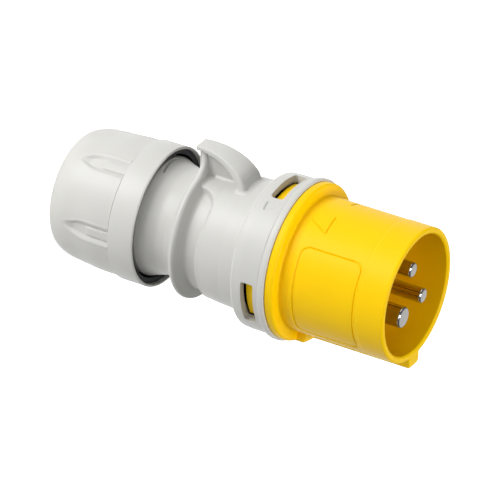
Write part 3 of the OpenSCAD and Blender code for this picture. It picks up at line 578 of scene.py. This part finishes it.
# Depth of the small sunk triangle, by the distance from the nearest of its sides.
def triangleDepth(z, angle):
    radius = housing["collarRadius"]
    corners = np.array([(height, np.radians(turn) * radius) for height, turn in triangle["corners"]])
    distance = -1e9
    for first, second in zip(corners, np.roll(corners, -1, 0)):
        side = (second - first) / np.linalg.norm(second - first)
        away = (z - first[0]) * side[1] - (angle * radius - first[1]) * side[0]
        distance = np.maximum(distance, away)
    return triangle["depth"] * ease(0.5 - distance / triangle["edge"])


# All rows from the neck's end to the face and back through the bore as one grid, with the windows open,
# and the hook's band and web as closed parts that run into it.
def makeHousing():
    columns = housingColumns()
    windowZ, windowAngle, opened = windowGrid(columns)
    low, high = windowZ[0, 0], windowZ[-1, 0]
    radius, seam, inner = housing["collarRadius"], housing["seamRadius"], window["innerRadius"]
    lip, edge, face = housing["lipRadius"], housing["lipStart"], housing["face"]
    outerSeal, innerSeal, floor = housing["sealOuter"], housing["sealInner"], face - housing["sealDepth"]
    mouth = housing["mouthRadius"]
    front = roundedPath([
        (radius, high + 0.2, 0), (radius, edge - 0.35, 0.15), (seam, edge - 0.2, 0.1), (seam, edge, 0.1),
        (lip, edge, 0.55), (lip, face, 0.5), (outerSeal, face, 0.1), (outerSeal, floor, 0.1),
        (innerSeal, floor, 0.1), (innerSeal, face, 0.1), (mouth, face, 0.2), (mouth, high + 0.05, 0.1),
        (inner, high + 0.05, 0)], 4)
    back = roundedPath([(inner, low - 0.1, 0), (inner, housing["bore"][0][1], 0.1), *housing["bore"]], 2)
    blocks = {
        "thread": threadRows(columns), "neck": neckRows(columns), "disc": discRows(columns),
        "body": bodyRows(columns), "flare": flareRows(columns),
        "collar": around(radius - triangleDepth(windowZ, windowAngle), windowZ, windowAngle),
        "front": turnedPath(front, columns), "wall": around(inner, windowZ, windowAngle)[::-1],
        "bore": turnedPath(back, columns),
    }
    parts = [openedShell(blocks, "collar", "wall", opened, loopRows=True), hookBand(), hookWeb()]
    addPiece("housingMoulding", parts, materials["greyPlastic"], "housing", ["housing"])


# [height, station] on the hook's oval and its normal there, moved inwards along that normal by inset.
def hookCurve(angle, inset):
    top = hook["height"] - hook["baseHeight"]
    normal = np.stack([np.sin(angle) / top, np.cos(angle) / hook["reach"]], -1)
    normal /= np.linalg.norm(normal, axis=-1, keepdims=True)
    height = hook["baseHeight"] + top * np.sin(angle)
    station = hook["axisHeight"] + hook["reach"] * np.cos(angle)
    return np.stack([height, station], -1) - normal * inset[..., None], normal


# A rectangle with rounded edges carried from the tip along the oval, wider and thicker towards the foot,
# where its toe narrows by a quarter oval. Two rows round the tip's end, and each end shrinks to a point.
def hookBand():
    tip, axis, edge = hook["tip"], hook["axisHeight"], hook["edge"]
    angle = np.radians(np.linspace(90, 6, 44))
    middle, normal = hookCurve(angle, 0 * angle)
    tail = np.linspace(tip + 0.3, axis, 7)[:-1]
    droop = hook["height"] - hook["droop"] * ((axis - tail) / (axis - tip)) ** 2
    middle = np.concatenate([np.stack([droop, tail], -1), middle])
    normal = np.concatenate([np.tile([1.0, 0.0], (len(tail), 1)), normal])
    t = np.clip((middle[:, 1] - tip) / (axis + hook["reach"] - tip), 0, 1)
    half = hook["tipHalf"] + (hook["footHalf"] - hook["tipHalf"]) * t ** 1.5
    toe = np.clip((hook["toeTop"] - middle[:, 0]) / hook["toeLength"], 0, 1)
    half = half - hook["toe"] * (1 - np.sqrt(1 - toe ** 2))
    thickness = hook["bandThickness"] + (hook["footThickness"] - hook["bandThickness"]) * t
    middle = middle - normal * (thickness / 2)[:, None]

    size = np.pad(np.ones(len(half) + 1), 1)[:, None]
    inset = np.append([0, 0.3], np.zeros(len(half) + 1))[:, None]
    middle = np.pad(middle, ((2, 1), (0, 0)), "edge")
    middle[:2, 1] -= 0.3
    normal = np.pad(normal, ((2, 1), (0, 0)), "edge")
    half, thickness = (np.pad(values, (2, 1), "edge")[:, None] for values in (half, thickness))
    turn = np.radians(np.arange(0, 360, 15) + 7.5)
    across = np.sign(np.cos(turn)) * (half - edge - inset) + edge * np.cos(turn)
    proud = np.sign(np.sin(turn)) * (thickness / 2 - edge - inset * 0.8) + edge * np.sin(turn)
    across, proud = across * size, proud * size
    height = middle[:, :1] + normal[:, :1] * proud
    station = middle[:, 1:] + normal[:, 1:] * proud
    return shell(np.stack([height, across, station], -1))


# A flat web between the body and the middle of the band, with a hollow round towards the tab.
def hookWeb():
    angle = np.radians(np.linspace(96, 14, 40))
    rim, _ = hookCurve(np.minimum(angle, np.pi / 2), np.full(len(angle), hook["bandThickness"] / 2))
    station = np.linspace(*hook["web"], 60)
    top = np.interp(station, np.append(hook["tip"], rim[:, 1]), np.append(rim[0, 0], rim[:, 0]))
    bottom = np.full(len(station), hook["baseHeight"] + 1.0)
    front = hook["webStart"] - np.stack([0 * top, 0 * top, tabLean(top), tabLean(top)], -1)
    away = np.maximum(station[:, None] - front, 0)
    across = np.array([-1, 1, 1, -1]) * (hook["webHalf"] + fillet(0.4 * away, hook["tabRounding"]))
    height = np.stack([bottom, bottom, top, top], -1)
    grid = np.stack([height, across, station[:, None] + 0 * across], -1)
    start = grid[:1].mean(1, keepdims=True) + 0 * grid[:1]
    end = grid[-1:].mean(1, keepdims=True) + 0 * grid[:1]
    return shell(np.concatenate([start, grid, end]))


makeHousing()


# Shroud: the yellow insert in one moulding, with flange, key rib, sunk field, arrows and bayonet lugs

shroud = {
    "radius": 21.95, "wellRadius": 20.05, "rim": 123.8, "rimRounding": 0.7,
    "flangeStart": 83.5, "flangeEnd": 86.4, "flangeRadius": 25.85, "flangeRounding": 1, "hollow": 0.6,
    "floorFront": 85.9, "floorBack": 82.3, "skirtRadius": 21.7, "skirtBore": 19.7, "skirtStart": 74.6,
    "keyHalf": 3, "keyHeight": 3.7, "keyRounding": 1, "keyFoot": 0.5,
    "blockHalf": 21, "blockEdge": 0.7, "blockEnd": 89.4, "blockTop": 0.4,
    "steps": ((89.75, 0.09), (114.2, 0.14)), "stepRise": 0.3, "reliefStart": 87,
}
# where the grid lies closer, as (from, to, step): angles in degrees for the field, the arrows and the key,
# and heights in mm
shroudGrid = {
    "columns": 1.5,
    "fineColumns": ((-31, -9, 0.5), (9, 32, 0.5), (44, 53, 0.4), (123, 132.5, 0.4), (158.4, 160, 0.2),
                    (-160, -158.4, 0.2), (170, 174, 0.2), (-174, -170, 0.2)),
    "rows": ((87.4, 89.4, 0.5), (89.4, 103, 0.2), (103, 112, 0.9), (112, 114.8, 0.2), (115, 123, 1)),
}
# the field's and the arrows' places are [height in mm, angle in degrees]
field = {
    "middle": (102.1, 88.2), "halfLength": 10.8, "halfAngle": 43.1, "corner": 3, "depth": 0.16,
    "edge": 0.3, "line": 0.38, "lineWidth": 0.18,
}
arrows = {
    "halfWidth": 0.12, "edge": 0.2, "depth": 0.4,
    "lines": (((90, 20.6), (96.5, 30)), ((96.5, 30), (96.4, 11.3)),
              ((90, -21.8), (96.5, -12.5)), ((96.5, -12.5), (96.4, -31))),
}
lug = {
    "inner": 21, "outer": 23.2, "start": 75.5, "end": 79.1, "edge": 0.3,
    "halfAngle": 16, "middles": (-104, 0, 104),
}


# Height of the key rib above the shroud seen along the axis: a flat top, round corners, straight sides
# and small hollows where they meet the shroud.
def keyOutline(angle):
    base, half, top = shroud["radius"], shroud["keyHalf"], shroud["radius"] + shroud["keyHeight"]
    rounding, foot = shroud["keyRounding"], shroud["keyFoot"]
    turn, low = np.radians(np.linspace(0, 90, 9)), np.radians(np.linspace(0, 82, 7))
    across = np.concatenate([
        [0], half - rounding + rounding * np.sin(turn), half + foot - foot * np.cos(low)])
    up = np.concatenate([
        [top], top - rounding + rounding * np.cos(turn), base + foot - foot * np.sin(low) - 0.15])
    side = np.abs(wrapped(angle - np.pi))
    return np.interp(side, np.arctan2(across, up), np.hypot(across, up) - base, right=0)


# A shallow sunk field, by the distance from a rectangle with round corners, and a fine groove, a bell
# curve, along its edge.
def fieldHeight(z, angle):
    middle, turn = field["middle"]
    s = np.abs(wrapped(angle - np.radians(turn))) * shroud["radius"]
    qs = s - np.radians(field["halfAngle"]) * shroud["radius"] + field["corner"]
    qz = np.abs(z - middle) - field["halfLength"] + field["corner"]
    away = cornerDistance(qs, qz) - field["corner"]
    groove = field["line"] * np.exp(-(away / field["lineWidth"]) ** 2)
    return -field["depth"] * ease(0.5 - away / field["edge"]) - groove


# The arrows' fine sunk lines: full depth near each line, less past half its width.
def arrowDepth(z, angle):
    radius = shroud["radius"]
    depth = 0 * z + 0 * angle
    for (z0, turn0), (z1, turn1) in arrows["lines"]:
        along = np.array([z1 - z0, np.radians(turn1) * radius - np.radians(turn0) * radius])
        dz, ds = z - z0, wrapped(angle - np.radians(turn0)) * radius
        t = np.clip((dz * along[0] + ds * along[1]) / (along ** 2).sum(), 0, 1)
        away = np.hypot(dz - t * along[0], ds - t * along[1])
        line = arrows["depth"] * ease(1 + (arrows["halfWidth"] - away) / arrows["edge"])
        depth = np.maximum(depth, line)
    return depth


# A rectangle with rounded edges carried round the axis, closed at both ends.
def lugBlock(middle):
    low, high = np.array([lug["inner"], lug["start"]]), np.array([lug["outer"], lug["end"]])
    half, centre, edge = (high - low) / 2, (high + low) / 2, lug["edge"]
    turn = np.radians(np.arange(0, 360, 30) + 15)
    section = np.stack([np.sign(np.cos(turn)) * (half[0] - edge) + edge * np.cos(turn),
                        np.sign(np.sin(turn)) * (half[1] - edge) + edge * np.sin(turn)], -1)
    size = np.concatenate([[0, 0.85], np.ones(15), [0.85, 0]])
    reach = np.concatenate([[-1, -1], np.linspace(-0.98, 0.98, 15), [1, 1]]) * lug["halfAngle"]
    angle = np.radians(middle + reach)[:, None]
    radius, z = (centre + section[None] * size[:, None, None]).transpose(2, 0, 1)
    return shell(around(radius, z, angle))


# A turned profile from the floor's back round the skirt, the flange, the tube and the well to the floor's
# front. The outside rises by the key rib and the block at its foot, and elsewhere carries the low steps,
# the field and the arrows.
def makeShroud():
    radius, rim, well, foot = shroud["radius"], shroud["rim"], shroud["wellRadius"], shroud["flangeEnd"]
    skirt, bore, flange = shroud["skirtRadius"], shroud["skirtBore"], shroud["flangeRadius"]
    columns = angleColumns(shroudGrid["columns"], shroudGrid["fineColumns"])
    path = roundedPath([
        (0, shroud["floorBack"], 0), (bore, shroud["floorBack"], 0.4), (bore, shroud["skirtStart"], 0.3),
        (skirt, shroud["skirtStart"], 0.3), (skirt, shroud["flangeStart"], 0.1),
        (flange, shroud["flangeStart"], 0.35), (flange, foot, shroud["flangeRounding"]),
        (radius, foot - 0.2, shroud["hollow"]), (radius, rim, shroud["rimRounding"]),
        (well + 0.5, rim, 0.25), (well, rim - 0.5, 0.3), (well, shroud["floorFront"], 0.9),
        (0, shroud["floorFront"], 0)], 9)
    turning = int(np.argmax(path[:, 1]))
    outer, inner = divided(path[:turning + 1], 2), divided(path[turning + 1:], 2)
    tubeZ = np.concatenate([np.arange(*rows) for rows in shroudGrid["rows"]])
    tube = np.stack([np.full(len(tubeZ), radius), tubeZ], -1)
    below, above = outer[:, 1] < tubeZ[0] - 0.1, outer[:, 1] > tubeZ[-1] + 0.1
    outer = np.concatenate([outer[below], tube, outer[above]])
    plain, z = outer[:, :1], outer[:, 1:] + 0 * columns

    turned = np.degrees(np.abs(wrapped(columns - np.pi)))
    edge, top = shroud["blockEdge"], shroud["blockTop"]
    block = shroud["keyHeight"] * ease((shroud["blockHalf"] + edge / 2 - turned) / edge)
    block = block * ease((shroud["blockEnd"] + top / 2 - z) / top)
    tall = np.maximum(keyOutline(columns), block) * (z > foot - shroud["flangeRounding"])
    relief = fieldHeight(z, columns) - arrowDepth(z, columns)
    for start, height in shroud["steps"]:
        relief = relief + height * ease((z - start) / shroud["stepRise"])
    relief = relief * (z > shroud["reliefStart"]) * (tall < 0.01)
    outside = np.maximum(plain, np.minimum(plain, radius) + tall) + relief
    inside = inner[:, :1] + np.where(inner[:, :1] > radius - 0.75, keyOutline(columns), 0)
    grid = np.concatenate([around(outside, z, columns), around(inside, inner[:, 1:], columns)])
    parts = [shell(grid)] + [lugBlock(middle) for middle in lug["middles"]]
    addPiece("yellowInsert", parts, materials["yellowPlastic"], "insert", ["shroud"])


makeShroud()


# Pins: each turned in one piece with its terminal, which has a wire hole and a hole for its screw

# turn is the angle round the plug's axis in degrees, all else is in mm
pins = [
    {"name": "pinLine", "node": "pin_line", "turn": 0,
     "radius": 2.5, "tip": 122.4, "terminal": 3.8, "bore": 2.3},
    {"name": "pinNeutral", "node": "pin_neutral", "turn": -120,
     "radius": 2.5, "tip": 122.4, "terminal": 3.8, "bore": 2.3},
    {"name": "pinEarth", "node": "pin_earth", "turn": 120,
     "radius": 3.5, "tip": 123.7, "terminal": 4.2, "bore": 2.6},
]
pinShape = {
    "circle": 8.7, "foot": 65.2, "end": 81.2, "boreEnd": 77.2, "root": 0.3, "rootEnd": 86.1, "edge": 0.3,
    "tipEdge": 0.75, "dome": 0.2, "screwHeight": 70.2, "screwHole": 1.95, "cell": 0.2, "columns": 3.0,
}


# Heights and angles of the outer surface round the screw's hole, with the points next to its circle
# moved onto it, the angles of the same places in the wire hole, and which cells are open. Those angles
# are where the screw's hole meets the wire hole, and behind it the rest is shared out evenly.
def screwGrid(pin, columns):
    cell, hole = pinShape["cell"], pinShape["screwHole"]
    reach = np.arange(-hole - 3 * cell, hole + 3 * cell, cell)[:, None] + 0 * columns
    terminal, bore = pin["terminal"], pin["bore"]
    across = terminal * np.sin(columns) + 0 * reach
    away = np.maximum(np.hypot(across, reach), 1e-6)
    facing = np.cos(columns) > 0
    scale = np.where((np.abs(away - hole) < 0.55 * cell) & facing, hole / away, 1)
    across, reach = across * scale, reach * scale
    inside = (away < hole + 0.55 * cell) & facing
    nextColumn = np.roll(inside, -1, 1)
    opened = inside[:-1] & inside[1:] & nextColumn[:-1] & nextColumn[1:]
    turned = np.arcsin(np.clip(across / terminal, -1, 1))
    angle = np.where(np.abs(scale - 1) > 0, turned, columns)
    wide, deep, size = np.arcsin(1.1 * hole / terminal), np.arcsin(1.1 * hole / bore), np.abs(angle)
    front = np.arcsin(np.clip(np.sin(size) * terminal / bore, -1, 1))
    behind = deep + (size - wide) * (np.pi - deep) / (np.pi - wide)
    deepAngle = np.sign(angle) * np.where(size < wide, front, behind)
    return pinShape["screwHeight"] + reach, angle, deepAngle, opened


# The wire hole, the terminal, the shaft and its slightly domed tip as one turned grid, with the cells of
# the screw's hole left out and its walls put in, then turned to the pin's place on its circle.
def makePin(pin):
    radius, terminal, bore, edge = pin["radius"], pin["terminal"], pin["bore"], pinShape["edge"]
    foot, end, root = pinShape["foot"], pinShape["end"], pin["radius"] + pinShape["root"]
    columns = angleColumns(pinShape["columns"])
    z, angle, deepAngle, opened = screwGrid(pin, columns)
    low, high = z[0, 0], z[-1, 0]
    start = roundedPath([
        (0, pinShape["boreEnd"], 0), (bore, pinShape["boreEnd"], edge), (bore, high + 0.3, 0)])
    base = roundedPath([
        (bore, low - 0.3, 0), (bore, foot, edge), (terminal, foot, edge), (terminal, low - 0.3, 0)])
    shaft = roundedPath([
        (terminal, high + 0.3, 0), (terminal, end, edge), (root, end, 0.1),
        (root, pinShape["rootEnd"], 0.1), (radius, pinShape["rootEnd"], 0.1), (radius, pin["tip"] - 2, 0)])
    tipEdge, dome = pinShape["tipEdge"], pinShape["dome"]
    flat = np.linspace(radius - tipEdge, 0, 8)[1:]
    turn = np.radians(np.linspace(0, 88, 9))
    side = pin["tip"] - dome * ((radius - tipEdge) / radius) ** 2 - tipEdge
    tip = np.concatenate([
        np.stack([radius - tipEdge + tipEdge * np.cos(turn), side + tipEdge * np.sin(turn)], -1),
        np.stack([flat, pin["tip"] - dome * (flat / radius) ** 2], -1)])
    blocks = {
        "wireHole": turnedPath(start, columns), "holeInside": around(bore, z, deepAngle)[::-1],
        "foot": turnedPath(base, columns), "holeOutside": around(terminal, z, angle),
        "shaft": turnedPath(np.concatenate([shaft, tip]), columns),
    }
    points, faces = openedShell(blocks, "holeOutside", "holeInside", opened)
    turned = np.radians(pin["turn"])
    axes = np.array([[np.cos(turned), np.sin(turned), 0], [-np.sin(turned), np.cos(turned), 0], [0, 0, 1]])
    points = (points + (pinShape["circle"], 0, 0)) @ axes
    addPiece(pin["name"], [(points, faces)], materials["nickelPlate"], "insert", [pin["node"]])


for pin in pins:
    makePin(pin)


# Stage, lamps and camera

# floorRadius is in metres, floorGlow is how strongly the floor shines to the camera and to mirrors, and
# ambient how strongly the world lights the object
stage = {"floorRadius": 4, "floorGrey": 0.85, "floorRoughness": 0.9, "floorGlow": 0.8, "ambient": 0.1}


# A flat disc that shows white to the camera and to mirrors, and still takes the shadow.
def makeFloor():
    turn = np.radians(np.arange(0, 360, 3))
    ring = around(np.array([0.0, stage["floorRadius"] / mm])[:, None], 0.0, turn)
    points, faces = shell(ring[::-1])
    mesh = bpy.data.meshes.new("floor")
    mesh.from_pydata(points * mm, [], faces)
    mesh.update()
    floor = bpy.data.objects.new("floor", mesh)
    scene.collection.objects.link(floor)
    material = bpy.data.materials.new("paleFloor")
    material.use_nodes = True
    nodes, links = material.node_tree.nodes, material.node_tree.links
    shader = nodes["Principled BSDF"]
    shader.inputs["Base Color"].default_value = (*[stage["floorGrey"]] * 3, 1)
    shader.inputs["Roughness"].default_value = stage["floorRoughness"]
    shader.inputs["Emission Color"].default_value = (1, 1, 1, 1)
    light = nodes.new("ShaderNodeLightPath")
    seen = nodes.new("ShaderNodeMath")
    seen.operation = "MAXIMUM"
    links.new(light.outputs["Is Camera Ray"], seen.inputs[0])
    links.new(light.outputs["Is Glossy Ray"], seen.inputs[1])
    glow = nodes.new("ShaderNodeMath")
    glow.operation = "MULTIPLY"
    links.new(seen.outputs[0], glow.inputs[0])
    glow.inputs[1].default_value = stage["floorGlow"]
    links.new(glow.outputs[0], shader.inputs["Emission Strength"])
    mesh.materials.append(material)
    floor.visible_shadow = False


# White to the camera, and a faint even light on the object.
def makeWorld():
    world = bpy.data.worlds.new("studio")
    scene.world = world
    world.use_nodes = True
    nodes, links = world.node_tree.nodes, world.node_tree.links
    background = nodes["Background"]
    background.inputs["Color"].default_value = (1, 1, 1, 1)
    light = nodes.new("ShaderNodeLightPath")
    strength = nodes.new("ShaderNodeMapRange")
    strength.inputs["To Min"].default_value = stage["ambient"]
    strength.inputs["To Max"].default_value = 1
    links.new(light.outputs["Is Camera Ray"], strength.inputs["Value"])
    links.new(strength.outputs["Result"], background.inputs["Strength"])


# places and widths in metres
lamps = [
    dict(name="keyLamp", place=(1.24, 0.7, -0.75), width=1.0, watts=18.7),
    dict(name="topLamp", place=(1.55, -0.3, 0.3), width=1.2, watts=4.5),
    dict(name="fillLamp", place=(0.5, 1.0, 1.4), width=1.2, watts=6.5),
    dict(name="frontLamp", place=(0.08, 0.14, 1.75), width=0.35, watts=15.5),
    dict(name="backLamp", place=(-0.8, -1.1, 0.75), width=1.4, watts=2.8),
    dict(name="lowLamp", place=(-0.9, 1.3, 0.1), width=1.2, watts=2),
]


# A round area lamp whose axes are worked out from its place and the point that it faces.
def makeLamp(lamp, target=(0, 0, 0.06)):
    light = bpy.data.lights.new(lamp["name"], "AREA")
    light.shape = "DISK"
    light.size = lamp["width"]
    light.energy = lamp["watts"]
    holder = bpy.data.objects.new(lamp["name"], light)
    scene.collection.objects.link(holder)
    away = np.array(lamp["place"]) - np.array(target)
    away = away / np.linalg.norm(away)
    side = np.cross((0, 0, 1), away)
    side = side / np.linalg.norm(side)
    up = np.cross(away, side)
    axes = np.eye(4)
    axes[:3, 0], axes[:3, 1], axes[:3, 2], axes[:3, 3] = side, up, away, lamp["place"]
    holder.matrix_world = Matrix(axes)


# the photo's view: the camera's place in metres, and its axes
view = {
    "place": (0.955174, 1.427881, 0.870416),
    "right": (0.02647787, -0.50522777, 0.86257975),
    "up": (0.86312248, -0.42374977, -0.27469205),
    "back": (0.50430002, 0.75178523, 0.42485346),
    "lens": 432, "sensor": 36,
}


def makeCamera():
    camera = bpy.data.cameras.new("camera")
    camera.lens = view["lens"]
    camera.sensor_width = view["sensor"]
    camera.clip_end = 20
    holder = bpy.data.objects.new("camera", camera)
    scene.collection.objects.link(holder)
    axes = np.eye(4)
    axes[:3, 0], axes[:3, 1], axes[:3, 2] = view["right"], view["up"], view["back"]
    axes[:3, 3] = view["place"]
    holder.matrix_world = Matrix(axes)
    scene.camera = holder


makeFloor()
makeWorld()
for lamp in lamps:
    makeLamp(lamp)
makeCamera()
scene.view_settings.view_transform = "Standard"
print("stage ready")
